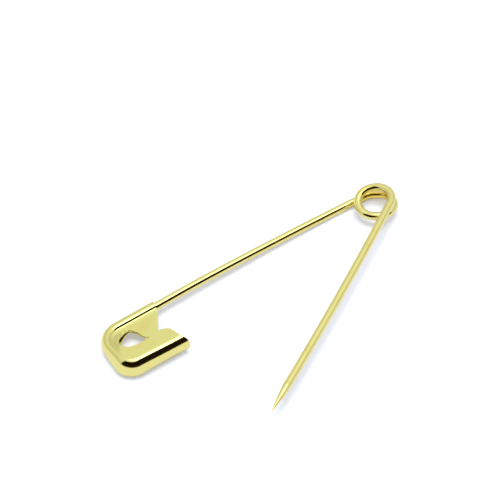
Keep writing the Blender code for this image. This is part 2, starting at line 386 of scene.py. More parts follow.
@dataclass(frozen=True)
class BrassFinish:
    """Bright brass plating with the small marks of use.

    Attributes:
        name: The material's name.
        grain: Which way its fine marks run.
        colour: The plating where it is bright.
        tarnish: The plating where it has dulled a little.
        roughness: Roughness of the bright plating.
        dulled: How much rougher it is where it has dulled.
        mark_width: Width of one fine mark.
        mark_length: Length of one fine mark, as a number of widths.
        mark_depth: Depth of the fine marks.
        ripple_width: Width of the plating's soft ripples.
        ripple_depth: Depth of the soft ripples.
        ripple_detail: How finely the ripples are broken up.
        dull_width: Width of a dulled patch, as a number of ripples.
        dull_detail: How finely the dulled patches are broken up.
        dull_limits: The patches' noise where the plating is bright and dulled.
        mark_detail: How finely the fine marks are broken up.
        mark_limits: The marks' noise where there is none and where it is full.
        mark_dulling: How much rougher a mark is, as a share of what dulling adds.
    """

    name: str
    grain: Grain
    colour: tuple[float, float, float, float]
    tarnish: tuple[float, float, float, float]
    roughness: float
    dulled: float
    mark_width: float
    mark_length: float
    mark_depth: float
    ripple_width: float
    ripple_depth: float
    ripple_detail: float = 2.0
    dull_width: float = 6.0
    dull_detail: float = 4.0
    dull_limits: tuple[float, float] = (0.5, 0.75)
    mark_detail: float = 3.0
    mark_limits: tuple[float, float] = (0.52, 0.72)
    mark_dulling: float = 0.4

    def material(self, painted_reflection: PaintedCoilReflection | None = None) -> bpy.types.Material:
        """Build the material.

        Args:
            painted_reflection: The painted reflection inside the coil, for the coil's own material.

        Returns:
            The new material.
        """
        made = bpy.data.materials.new(f"{self.name}_coil" if painted_reflection else self.name)
        made.use_nodes = True
        graph = Graph(made.node_tree)
        place = self._place(graph)
        marks = self._marks(graph, place)
        ripples = self._noise(graph, place, self.ripple_width, self.ripple_detail)
        patches = self._noise(graph, place, self.ripple_width * self.dull_width, self.dull_detail)
        dull = patches.over(*self.dull_limits)
        height = marks * self.mark_depth + ripples * self.ripple_depth
        bump = graph.add("ShaderNodeBump", None, {"Strength": 1.0, "Distance": 1.0, "Height": height})
        roughness = self.roughness + dull * self.dulled + marks * (self.dulled * self.mark_dulling)
        colour = graph.colour_mix(dull, self.colour, self.tarnish)
        # The coil's own material gets a painted reflection of its turns in each other: a deeper, more
        # orange colour.
        if painted_reflection:
            colour = painted_reflection.mix(graph, colour)
        shader = graph.add("ShaderNodeBsdfPrincipled", None, {"Metallic": 1.0})
        graph.feed(shader.inputs["Base Color"], colour)
        graph.feed(shader.inputs["Roughness"], roughness)
        graph.feed(shader.inputs["Normal"], bump.outputs[0])
        graph.add("ShaderNodeOutputMaterial", None, {"Surface": shader.outputs[0]})
        return made

    def _place(self, graph: Graph) -> bpy.types.NodeSocket:
        """Coordinates in metres, which on a wire run round it and along it.

        Args:
            graph: The material's nodes.

        Returns:
            The coordinates' socket.
        """
        if self.grain is Grain.DRAWN:
            node = graph.add("ShaderNodeAttribute", {"attribute_name": WIRE_PLACE})
            return node.outputs["Vector"]
        node = graph.add("ShaderNodeTexCoord")
        return node.outputs["Object"]

    def _noise(self, graph: Graph, place: object, width: float, detail: float) -> Signal:
        """Soft noise whose features have about a width."""
        sockets = {"Vector": place, "Scale": 1 / width, "Detail": detail}
        return graph.signal(graph.add("ShaderNodeTexNoise", None, sockets))

    def _marks(self, graph: Graph, place: object) -> Signal:
        """Long fine marks, from 0 where there is none to 1 in a mark.

        Args:
            graph: The material's nodes.
            place: The surface's coordinates.

        Returns:
            The marks.
        """
        wide = 1 / self.mark_width
        long = wide / self.mark_length
        scale = (wide, wide, long) if self.grain is Grain.DRAWN else (long, wide, wide)
        mapped = graph.add("ShaderNodeMapping", None, {"Vector": place, "Scale": scale})
        return self._noise(graph, mapped.outputs[0], 1.0, self.mark_detail).over(*self.mark_limits)


# Wire


@dataclass(frozen=True)
class WireSweep:
    """Sweeps a round section along a path with Geometry Nodes.

    Attributes:
        radius: The wire's radius.
        sides: How many sides the round section has.
    """

    radius: float
    sides: int

    def sweep(
        self, name: str, points: Sequence[Vector], shares: Sequence[float], material: bpy.types.Material
    ) -> bpy.types.Object:
        """Make one length of wire.

        Args:
            name: The piece's name.
            points: The middle of the wire, in the part's frame.
            shares: The wire's radius at each point, as a share of the full radius.
            material: Its finish.

        Returns:
            The piece, a plain mesh.
        """
        mesh = bpy.data.meshes.new(name)
        edges = [(index, index + 1) for index in range(len(points) - 1)]
        mesh.from_pydata([tuple(point) for point in points], edges, [])
        mesh.attributes.new("radius_share", "FLOAT", "POINT").data.foreach_set("value", list(shares))
        piece = link(name, mesh)
        modifier = piece.modifiers.new("sweep", "NODES")
        modifier.node_group = self._tree(name)
        values = {"Radius": self.radius, "Sides": self.sides, "Finish": material}
        for item in modifier.node_group.interface.items_tree:
            if item.name in values:
                modifier[item.identifier] = values[item.name]
        return settle(piece)

    def _tree(self, name: str) -> bpy.types.NodeTree:
        """The tree: path to curve, round section along it, and its own coordinates.

        Args:
            name: The piece's name.

        Returns:
            The new tree.
        """
        tree = bpy.data.node_groups.new(f"{name}_sweep", "GeometryNodeTree")
        graph = Graph(tree)
        face = tree.interface
        face.new_socket("Path", in_out="INPUT", socket_type="NodeSocketGeometry")
        face.new_socket("Radius", in_out="INPUT", socket_type="NodeSocketFloat")
        face.new_socket("Sides", in_out="INPUT", socket_type="NodeSocketInt")
        face.new_socket("Finish", in_out="INPUT", socket_type="NodeSocketMaterial")
        face.new_socket("Wire", in_out="OUTPUT", socket_type="NodeSocketGeometry")
        given = graph.add("NodeGroupInput")
        curve = graph.add("GeometryNodeMeshToCurve", None, {"Mesh": given.outputs["Path"]})
        length = graph.add("GeometryNodeSplineParameter").outputs["Length"]
        run = self._captured(graph, curve.outputs[0], length, "FLOAT")
        share = graph.add(
            "GeometryNodeInputNamedAttribute", {"data_type": "FLOAT"}, {"Name": "radius_share"}
        )
        section = graph.add(
            "GeometryNodeCurvePrimitiveCircle",
            None,
            {"Resolution": given.outputs["Sides"], "Radius": given.outputs["Radius"]},
        )
        position = graph.add("GeometryNodeInputPosition").outputs[0]
        around = self._captured(graph, section.outputs[0], position, "VECTOR")
        tube = graph.add(
            "GeometryNodeCurveToMesh",
            None,
            {
                "Curve": run.outputs["Geometry"],
                "Profile Curve": around.outputs["Geometry"],
                "Scale": share.outputs[0],
                "Fill Caps": True,
            },
        )
        along = graph.add("ShaderNodeCombineXYZ", None, {"Z": run.outputs[1]})
        place = graph.vector("ADD", around.outputs[1], along.outputs[0])
        stored = graph.add(
            "GeometryNodeStoreNamedAttribute",
            {"data_type": "FLOAT_VECTOR", "domain": "POINT"},
            {"Geometry": tube.outputs[0], "Name": WIRE_PLACE, "Value": place.outputs[0]},
        )
        smooth = graph.add("GeometryNodeSetShadeSmooth", None, {"Geometry": stored.outputs[0]})
        real = graph.add("GeometryNodeRealizeInstances", None, {"Geometry": smooth.outputs[0]})
        dressed = graph.add(
            "GeometryNodeSetMaterial",
            None,
            {"Geometry": real.outputs[0], "Material": given.outputs["Finish"]},
        )
        graph.add("NodeGroupOutput", None, {"Wire": dressed.outputs[0]})
        return tree

    def _captured(
        self, graph: Graph, geometry: bpy.types.NodeSocket, value: bpy.types.NodeSocket, kind: str
    ) -> bpy.types.Node:
        """Keep a value on a curve's points, so that it reaches the swept mesh.

        Args:
            graph: The tree's nodes.
            geometry: The curve.
            value: What is kept.
            kind: The value's type.

        Returns:
            The node that gives back the curve and the kept value.
        """
        node = graph.add("GeometryNodeCaptureAttribute", {"domain": "POINT"})
        node.capture_items.new(kind, "Kept")
        graph.feed(node.inputs["Geometry"], geometry)
        graph.feed(node.inputs["Kept"], value)
        return node


@dataclass(frozen=True)
class SpringCoil:
    """The coil of one and a half turns, from the needle round and down to the arm.

    Attributes:
        sweep: The wire.
        radius: Radius to the middle of the wire.
        flare: How far the wire stands out where it leaves for the arm.
        flare_turn: Angle over which it flares.
        lean: How far the lower turn lies to one side of the upper.
        lean_towards: Angle in plan that it lies towards.
        lean_starts: Angle from each end over which it doesn't lean.
        climb: Height from the arm to the needle.
        levels: The wire's height at even steps from the needle round to the
            arm, as shares of the climb. The first and last steer the ends.
        open_angle: Angle in plan between the fixed arm and the needle.
        needle_slope: The needle's slope above the table.
        points_per_turn: Points along one turn.
    """

    sweep: WireSweep
    radius: float = 2.838 * MM
    flare: float = 0.36 * MM
    flare_turn: float = math.radians(40.0)
    lean: float = 0.77 * MM
    lean_towards: float = math.radians(194.0)
    lean_starts: float = math.radians(57.0)
    climb: float = 3.24 * MM
    levels: tuple[float, ...] = (1.04, 1.0, 0.975, 0.775, 0.577, 0.45, 0.449, 0.353, 0.177, 0.0, 0.177)
    open_angle: float = math.radians(33.2)
    needle_slope: float = math.radians(-1.3)
    points_per_turn: int = 96

    @property
    def diameter(self) -> float:
        """The wire's diameter."""
        return self.sweep.radius * 2

    @property
    def whole_turn(self) -> float:
        """Whole angle that the wire turns through."""
        return 3 * math.pi - self.open_angle

    def height(self, turned: float) -> float:
        """Height of the wire's middle once it has turned by an angle."""
        share = turned / self.whole_turn
        return self.sweep.radius + self.climb * smooth_curve(self.levels, share)

    def point(self, turned: float) -> Vector:
        """Middle of the wire once it has turned by an angle from the needle.

        Args:
            turned: The angle, in radians.

        Returns:
            The point, in the pin's own frame.
        """
        leaning = self.whole_turn - 2 * self.lean_starts
        lean = self.lean * smooth_share((turned - self.lean_starts) / leaning)
        flare = self.flare * smooth_share(1 - (self.whole_turn - turned) / self.flare_turn)
        around = heading(self.open_angle + math.pi / 2 + turned) * (self.radius + flare)
        return around + heading(self.lean_towards) * lean + Vector((0.0, 0.0, self.height(turned)))

    def needle_end(self) -> Vector:
        """Where the coil's wire meets the needle, in the pin's own frame."""
        return self.point(0.0) + heading(self.open_angle, self.needle_slope) * self.diameter

    def arm_end(self) -> Vector:
        """Where the coil's wire meets the fixed arm, in the pin's own frame."""
        return self.point(self.whole_turn) + heading(0.0) * self.diameter

    def build(self, origin: Vector, material: bpy.types.Material) -> bpy.types.Object:
        """Build the coil, with its place baked into its mesh.

        Args:
            origin: The pin's own origin, in the part's frame.
            material: The wire's finish, with the painted reflection inside the coil.

        Returns:
            The finished piece.
        """
        steps = round(self.points_per_turn * self.whole_turn / (2 * math.pi))
        turns = [self.point(self.whole_turn * share) for share in even_shares(steps)]
        middle = [self.needle_end()] + turns + [self.arm_end()]
        points = [origin + point for point in middle]
        piece = self.sweep.sweep("coil_wire", points, [1.0] * len(points), material)
        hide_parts("spring_coil")
        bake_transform(piece)
        return piece


@dataclass(frozen=True)
class Needle:
    """The needle arm, hardly bowed and ground to a point.

    Attributes:
        sweep: The wire.
        length: From the coil's last turn to the tip.
        bow: How far it bows away from the fixed arm.
        point_length: Length of the ground point.
        tip_radius: Radius of the very tip.
        fullness: Power that gives the ground point its swell.
        arm_steps: Points along the arm.
        point_steps: Points along the ground point.
        dome_steps: Points along the round end that sits in the coil's wire.
    """

    sweep: WireSweep
    length: float = 46.2 * MM
    bow: float = 0.3 * MM
    point_length: float = 5.2 * MM
    tip_radius: float = 0.03 * MM
    fullness: float = 0.8
    arm_steps: int = 60
    point_steps: int = 40
    dome_steps: int = 8

    def build(self, origin: Vector, coil: SpringCoil, material: bpy.types.Material) -> bpy.types.Object:
        """Build the needle and let it ride on its body.

        Args:
            origin: The pin's own origin, in the part's frame.
            coil: The coil that it leaves.
            material: The wire's finish.

        Returns:
            The finished piece.
        """
        radius = self.sweep.radius
        along = heading(coil.open_angle, coil.needle_slope)
        outward = heading(coil.open_angle + math.pi / 2)
        root = origin + coil.needle_end()
        length = self.length - coil.diameter
        shoulder = 1 - self.point_length / length
        points = []
        shares = []
        for share in even_shares(self.dome_steps)[1:-1]:
            angle = share * math.pi / 2
            points.append(root - along * radius * math.cos(angle))
            shares.append(math.sin(angle))
        for share in even_shares(self.arm_steps)[:-1]:
            points.append(self._middle(root, along * length, outward, share * shoulder))
            shares.append(1.0)
        for share in even_shares(self.point_steps):
            reach = shoulder + (1 - shoulder) * share
            points.append(self._middle(root, along * length, outward, reach))
            shares.append(max((1 - share) ** self.fullness, self.tip_radius / radius))
        piece = self.sweep.sweep("needle_wire", points, shares, material)
        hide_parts("needle_arm")
        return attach(piece, Body.NEEDLE.value)

    def _middle(self, root: Vector, run: Vector, outward: Vector, share: float) -> Vector:
        """Middle of the wire at a share of the needle's length."""
        return root + run * share + outward * (self.bow * 4 * share * (1 - share))


@dataclass(frozen=True)
class FixedArm:
    """The fixed arm, a little bowed, from the coil into the clasp's crimp.

    Attributes:
        sweep: The wire.
        length: From the coil's axis to the clasp's mouth, along +X.
        bow: How far it bows towards the needle's side.
        bow_power: Power that spreads the bow along it.
        clasp_turn: Turn of the clasp from the arm's first run.
        in_clasp: How far it runs on inside the crimp.
        rise_to: Height of its middle at the clasp.
        steps: Points along it.
    """

    sweep: WireSweep
    length: float = 41.34 * MM
    bow: float = 3.09 * MM
    bow_power: float = 1.35
    clasp_turn: float = math.radians(4.8)
    in_clasp: float = 7.3 * MM
    rise_to: float = 1.8 * MM
    steps: int = 90

    def mouth(self, coil: SpringCoil) -> Matrix:
        """The clasp's frame: at its mouth, on the wire and along it.

        Args:
            coil: The coil that the arm leaves.

        Returns:
            The frame, in the pin's own frame.
        """
        place = Vector((self.length, coil.arm_end().y + self.bow, self.rise_to))
        return Matrix.Translation(place) @ Matrix.Rotation(self.clasp_turn, 4, "Z")

    def build(self, origin: Vector, coil: SpringCoil, material: bpy.types.Material) -> bpy.types.Object:
        """Build the arm and let it ride with the clasp.

        Args:
            origin: The pin's own origin, in the part's frame.
            coil: The coil that it leaves.
            material: The wire's finish.

        Returns:
            The finished piece.
        """
        start = coil.arm_end()
        span = self.length - start.x
        rise = self.rise_to - start.z
        points = []
        for share in even_shares(self.steps):
            bow = self.bow * share**self.bow_power
            points.append(origin + start + Vector((span * share, bow, rise * smooth_share(share))))
        points.append(origin + self.mouth(coil) @ Vector((self.in_clasp, 0.0, 0.0)))
        piece = self.sweep.sweep("fixed_arm_wire", points, [1.0] * len(points), material)
        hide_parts("fixed_arm")
        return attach(piece, Body.CLASP_AND_ARM.value)


# Clasp


@dataclass(frozen=True)
class SheetClasp:
    """The clasp, one sheet swept along its outer rim, in a frame at its mouth.

    Its plan has three lines: the rim, the knee where the fold meets the flat,
    and the inner edge round the hole. Shares of the rim run from the mouth on
    the arm's side, round the nose, to the mouth on the channel's side.

    Attributes:
        wire: The wire that the clasp is crimped on.
        thickness: The sheet's thickness.
        height: Height of the channel.
        length: From the mouth to the nose.
        width: From the outside of the crimp to the outside of the channel.
        narrowing: How much narrower it is at the nose, on the channel's side.
        nose_rake: How much further the nose reaches on the channel's side.
        nose_radius_by_arm: Radius of the nose's corner beside the arm.
        nose_radius_by_channel: Radius of the nose's corner beside the channel.
        fold_depth: Width of the fold along the channel.
        fold_depth_at_nose: Width of the fold at the nose.
        nose_drop: How far the widest level of the fold drops round the nose.
        nose_drop_runs: Shares of the rim over which it drops and rises again.
        mouth_slant: How far the channel's mouth is cut back beside the flat.
        mouth_slant_run: Share of the rim that this takes.
        tab_slant: How far the web's end is cut back beside the crimp.
        tab_slant_run: Share of the rim that this takes.
        crimp_clearance: Gap between the arm and the sheet round it.
        crimp_seam: Width of the pinched strip beside the crimp.
        upper_wrap_end: Angle round the arm, from the web's side, where the upper
            sheet leaves it.
        upper_crease_run: Width of the upper sheet's crease.
        upper_crease_rise: How much the upper sheet rises to its crease.
        lower_wrap_end: The same angle of the lower sheet.
        lower_crease_run: Width of the lower sheet's crease.
        web_rise: Height of the pinched web's middle above the arm's.
        lip_run: Width of the rolled lip at the hole.
        lip_drop: How far the lip is rolled down.
        lip_starts: Share of the rim at which the lip starts.
        lip_ends: Share of the rim at which it ends.
        lip_run_out: Share of the rim over which it fades at each end.
        lip_steps: Points across the lip.
        pinch_gap: Gap between the two sheets of the web.
        opening_starts: Share of the rim at which the crimp starts to open.
        opening_ends: Share of the rim at which it is the open channel.
        edge_round: Radius of the sheet's rounded edges.
        edge_segments: Faces across a rounded edge.
        edge_angle: Angle from which an edge is rounded.
        stations: How many stations there are along the rim.
        corner_points: Points along each corner of the nose.
        fold_steps: Points across the fold.
        flat_steps: Points across the flat.
        inner_edge_shares: Places of the inner edge, from the web's end round
            the hole and along the channel, as shares of the clasp's length
            and of its width.
    """

    wire: WireSweep
    thickness: float = 0.25 * MM
    height: float = 3.6 * MM
    length: float = 12.198 * MM
    width: float = 10.6 * MM
    narrowing: float = 0.35 * MM
    nose_rake: float = 0.8 * MM
    nose_radius_by_arm: float = 4.2 * MM
    nose_radius_by_channel: float = 3.2 * MM
    fold_depth: float = 1.5 * MM
    fold_depth_at_nose: float = 1.35 * MM
    nose_drop: float = 0.6 * MM
    nose_drop_runs: tuple[float, float] = (0.15, 0.3)
    mouth_slant: float = 0.9 * MM
    mouth_slant_run: float = 0.2
    tab_slant: float = 0.4 * MM
    tab_slant_run: float = 0.12
    crimp_clearance: float = 0.06 * MM
    crimp_seam: float = 0.25 * MM
    upper_wrap_end: float = math.radians(60.0)
    upper_crease_run: float = 0.13 * MM
    upper_crease_rise: float = 0.08 * MM
    lower_wrap_end: float = math.radians(-12.0)
    lower_crease_run: float = 0.1 * MM
    web_rise: float = 0.3 * MM
    lip_run: float = 0.16 * MM
    lip_drop: float = 0.1 * MM
    lip_starts: float = 0.12
    lip_ends: float = 0.62
    lip_run_out: float = 0.1
    lip_steps: int = 4
    pinch_gap: float = 0.05 * MM
    opening_starts: float = 0.27
    opening_ends: float = 0.62
    edge_round: float = 0.05 * MM
    edge_segments: int = 3
    edge_angle: float = math.radians(50.0)
    stations: int = 220
    corner_points: int = 36
    fold_steps: int = 22
    flat_steps: int = 6
    inner_edge_shares: tuple[tuple[float, float], ...] = (
        (0.234, 0.550),
        (0.336, 0.568),
        (0.406, 0.512),
        (0.443, 0.385),
        (0.492, 0.286),
        (0.574, 0.272),
        (0.672, 0.314),
        (0.746, 0.375),
        (0.783, 0.465),
        (0.762, 0.550),
        (0.693, 0.611),
        (0.574, 0.634),
        (0.426, 0.630),
        (0.265, 0.608),
        (0.189, 0.621),
        (0.119, 0.672),
    )

    @property
    def crimp_radius(self) -> float:
        """Radius of the middle of the sheet where it wraps the arm."""
        return self.wire.radius + self.crimp_clearance + self.thickness / 2

    @property
    def outside(self) -> float:
        """Place across the clasp of the outside of the crimp."""
        return -self.crimp_radius - self.thickness / 2

    def _corner(self, before: Vector, corner: Vector, after: Vector, radius: float) -> list[Vector]:
        """Arc that rounds one corner of an outline which turns left.

        Args:
            before: The outline's point before the corner.
            corner: The sharp corner.
            after: The outline's point after the corner.
            radius: The arc's radius.

        Returns:
            The arc's points.
        """
        towards = (before - corner).normalized()
        away = (after - corner).normalized()
        half = towards.angle(away) / 2
        middle = corner + (towards + away).normalized() * (radius / math.sin(half))
        first = corner + towards * (radius / math.tan(half)) - middle
        sweep = math.pi - 2 * half
        return [
            middle + Matrix.Rotation(sweep * share, 3, "Z") @ first
            for share in even_shares(self.corner_points)
        ]

    def plan_line(self, by_arm: float, at_nose: float, by_channel: float) -> list[Vector]:
        """Plan line from mouth to mouth, inset from the clasp's outside.

        Args:
            by_arm: Inset on the arm's side.
            at_nose: Inset at the nose.
            by_channel: Inset on the channel's side.

        Returns:
            The line's points.
        """
        low = self.outside + by_arm
        high = self.outside + self.width - by_channel
        nose = self.length - at_nose
        start = Vector((0.0, low, 0.0))
        near = Vector((nose - self.nose_rake, low, 0.0))
        far = Vector((nose, high - self.narrowing, 0.0))
        end = Vector((0.0, high, 0.0))
        near_corner = self._corner(start, near, far, self.nose_radius_by_arm - at_nose)
        far_corner = self._corner(near, far, end, self.nose_radius_by_channel - at_nose)
        return [start] + near_corner + far_corner + [end]

    def _edge(self, share: float) -> Vector:
        """Smooth curve through the inner edge's places.

        Args:
            share: Share of the way along it.

        Returns:
            The point, in the clasp's frame.
        """
        places = [
            Vector((along * self.length, self.outside + across * self.width, 0.0))
            for along, across in self.inner_edge_shares
        ]
        before = places[0] * 2 - places[1]
        after = places[-1] * 2 - places[-2]
        return smooth_curve([before] + places + [after], share)

    def _crimp_fold(self, side: int) -> list[tuple[float, float]]:
        """One half of the wrap round the wire, from its seam to the outside.

        Args:
            side: 1 for the upper sheet and -1 for the lower.

        Returns:
            Points, each a share of the way from knee to rim and a height.
        """
        radius = self.crimp_radius
        knee = radius + self.crimp_seam
        begins = self.upper_wrap_end if side > 0 else self.lower_wrap_end
        crease = self.upper_crease_run if side > 0 else self.lower_crease_run
        rise = self.upper_crease_rise if side > 0 else 0.0
        ends = side * math.pi
        height = self.web_rise + side * (self.thickness + self.pinch_gap) / 2
        seam = radius * math.cos(begins) + crease
        fold = [(0.0, height), ((knee - seam) / (knee + radius), height + rise)]
        for share in even_shares(self.fold_steps - 2):
            angle = begins + (ends - begins) * share
            across = (knee - radius * math.cos(angle)) / (knee + radius)
            fold.append((across, radius * math.sin(angle)))
        return fold

    def _channel_fold(self, side: int, level: float) -> list[tuple[float, float]]:
        """One half of the channel's fold, a quarter of an ellipse.

        Args:
            side: 1 for the upper sheet and -1 for the lower.
            level: Height at which the fold is widest.

        Returns:
            Points, each a share of the way from knee to rim and a height.
        """
        height = side * (self.height - self.thickness) / 2 - level
        angles = [share * math.pi / 2 for share in even_shares(self.fold_steps)]
        return [(math.sin(angle), level + height * math.cos(angle)) for angle in angles]

    def _half(self, side: int, share: float, edge: Vector, knee: Vector, rim: Vector) -> list[Vector]:
        """Points of one sheet across a station, from the inner edge to the rim.

        Args:
            side: 1 for the upper sheet and -1 for the lower.
            share: The station's share of the rim.
            edge: The station's point on the inner edge.
            knee: Its point on the knee.
            rim: Its point on the rim.

        Returns:
            The points, in the clasp's frame.
        """
        opening = self.opening_ends - self.opening_starts
        opened = smooth_share((share - self.opening_starts) / opening)
        begins, fades = self.nose_drop_runs
        dropped = smooth_share((share - self.opening_starts) / begins)
        dropped *= smooth_share(1 - (share - self.opening_ends) / fades)
        begun = smooth_share((share - self.lip_starts) / self.lip_run_out)
        lip = self.lip_drop * begun * smooth_share((self.lip_ends - share) / self.lip_run_out)
        if side < 0:
            lip *= 1 - opened
        crimped = self._crimp_fold(side)
        folded = self._channel_fold(side, -self.nose_drop * dropped)
        fold = [
            (near[0] * (1 - opened) + far[0] * opened, near[1] * (1 - opened) + far[1] * opened)
            for near, far in zip(crimped, folded)
        ]
        level = Vector((0.0, 0.0, fold[0][1]))
        flat = []
        run = self.lip_run / (knee - edge).length
        parts = [run * part for part in even_shares(self.lip_steps)[:-1]]
        parts += [run + (1 - run) * part for part in even_shares(self.flat_steps)[:-1]]
        for part in parts:
            drop = lip * max(0.0, 1 - part / run) ** 2
            flat.append(edge.lerp(knee, part) + level - Vector((0.0, 0.0, drop)))
        return flat + [knee.lerp(rim, across) + Vector((0.0, 0.0, height)) for across, height in fold]

    def _station(self, share: float, rim: list[Vector], knee: list[Vector]) -> list[Vector]:
        """Points of the sheet's middle across one station, top edge to bottom.

        Args:
            share: The station's share of the rim.
            rim: The rim's points.
            knee: The knee's points.

        Returns:
            The points, in the clasp's frame.
        """
        on_rim, on_knee = place_on_lines(share, rim, knee)
        to_mouth = (1 - share) / self.mouth_slant_run
        on_knee.x += self.mouth_slant * smooth_share(1 - to_mouth)
        on_knee.x += self.tab_slant * smooth_share(1 - share / self.tab_slant_run)
        edge = self._edge(share)
        upper = self._half(1, share, edge, on_knee, on_rim)
        lower = self._half(-1, share, edge, on_knee, on_rim)
        return upper + lower[-2::-1]

    def build(self, origin: Vector, place: Matrix, material: bpy.types.Material) -> bpy.types.Object:
        """Build the clasp and let it ride with the fixed arm.

        Args:
            origin: The pin's own origin, in the part's frame.
            place: The clasp's frame, in the pin's own frame.
            material: The sheet's finish.

        Returns:
            The finished piece.
        """
        edge = self.thickness / 2
        rim = self.plan_line(edge, edge, edge)
        wrap = edge + 2 * self.crimp_radius + self.crimp_seam
        knee = self.plan_line(wrap, self.fold_depth_at_nose, self.fold_depth)
        rows = [
            [origin + place @ point for point in self._station(share, rim, knee)]
            for share in even_shares(self.stations)
        ]
        piece = link("clasp_sheet", grid_mesh("clasp_sheet", rows))
        piece.data.materials.append(material)
        sheet = piece.modifiers.new("sheet", "SOLIDIFY")
        sheet.thickness = self.thickness
        sheet.offset = 0.0
        sheet.use_even_offset = False
        rounded = piece.modifiers.new("edges", "BEVEL")
        rounded.width = self.edge_round
        rounded.segments = self.edge_segments
        rounded.limit_method = "ANGLE"
        rounded.angle_limit = self.edge_angle
        settle(piece)
        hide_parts("clasp_cap")
        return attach(piece, Body.CLASP_AND_ARM.value)


def place_on_lines(share: float, rim: list[Vector], knee: list[Vector]) -> tuple[Vector, Vector]:
    """The rim at a share of its length, and the knee that belongs to it.

    Args:
        share: Share of the rim's length.
        rim: The rim's points.
        knee: The knee's points, one for each of the rim's.

    Returns:
        The point on the rim and the point on the knee.
    """
    lengths = [0.0]
    for first, second in zip(rim, rim[1:]):
        lengths.append(lengths[-1] + (second - first).length)
    wanted = share * lengths[-1]
    index = 0
    while index < len(lengths) - 2 and lengths[index + 1] < wanted:
        index += 1
    part = (wanted - lengths[index]) / (lengths[index + 1] - lengths[index])
    return rim[index].lerp(rim[index + 1], part), knee[index].lerp(knee[index + 1], part)


def grid_mesh(name: str, rows: list[list[Vector]]) -> bpy.types.Mesh:
    """Mesh of a grid of points.

    Args:
        name: The mesh's name.
        rows: The grid's rows, all of one length.

    Returns:
        The mesh, shaded smooth.
    """
    across = len(rows[0])
    faces = []
    for row in range(len(rows) - 1):
        for column in range(across - 1):
            corner = row * across + column
            faces.append((corner, corner + 1, corner + across + 1, corner + across))
    mesh = bpy.data.meshes.new(name)
    mesh.from_pydata([tuple(point) for row in rows for point in row], [], faces)
    mesh.shade_smooth()
    return mesh


# Studio


@dataclass(frozen=True)
class PhotoView:
    """Where the photograph's camera stands, on the photograph's table.

    The table's own frame has +Y away from the camera and its origin where the
    picture's middle looks.

    Attributes:
        turn: Turn of the pin's own frame on the table.
        coil_x: Place of the coil's axis across the table.
        coil_y: Place of the coil's axis away from the camera.
        elevation: The camera's height above the table, as an angle.
        distance: The camera's distance from the table's origin.
        focal_pixels: Focal length in pixels of the photograph.
        picture_pixels: Width of the photograph in pixels.
        sensor_width: Width of the camera's sensor, in Blender's millimetres.
        clip_shares: Nearest and furthest that it sees, as shares of its distance.
    """

    turn: float = math.radians(211.44)
    coil_x: float = 20.41 * MM
    coil_y: float = 7.93 * MM
    elevation: float = math.radians(49.5)
    distance: float = 391.5 * MM
    focal_pixels: float = 2400.0
    picture_pixels: float = 500.0
    sensor_width: float = 36.0
    clip_shares: tuple[float, float] = (0.05, 20.0)

    def table_to_part(self, origin: Vector) -> Matrix:
        """From the photograph's table to the part's frame.

        Args:
            origin: The pin's own origin, in the part's frame.

        Returns:
            The matrix.
        """
        coil = Vector((self.coil_x, self.coil_y, 0.0))
        turned = Matrix.Rotation(-self.turn, 4, "Z")
        return Matrix.Translation(origin) @ turned @ Matrix.Translation(-coil)

    def build(self, origin: Vector) -> None:
        """Make the camera, the scene's active one.

        Args:
            origin: The pin's own origin, in the part's frame.
        """
        data = bpy.data.cameras.new("photo_camera")
        data.sensor_width = self.sensor_width
        data.lens = self.focal_pixels / self.picture_pixels * self.sensor_width
        data.clip_start = self.distance * self.clip_shares[0]
        data.clip_end = self.distance * self.clip_shares[1]
        camera = link("photo_camera", data)
        back = Vector((0.0, -math.cos(self.elevation), math.sin(self.elevation)))
        turn = (-back).to_track_quat("-Z", "Y").to_matrix().to_4x4()
        on_table = Matrix.Translation(back * self.distance) @ turn
        camera.matrix_world = self.table_to_part(origin) @ on_table
        bpy.context.scene.camera = camera


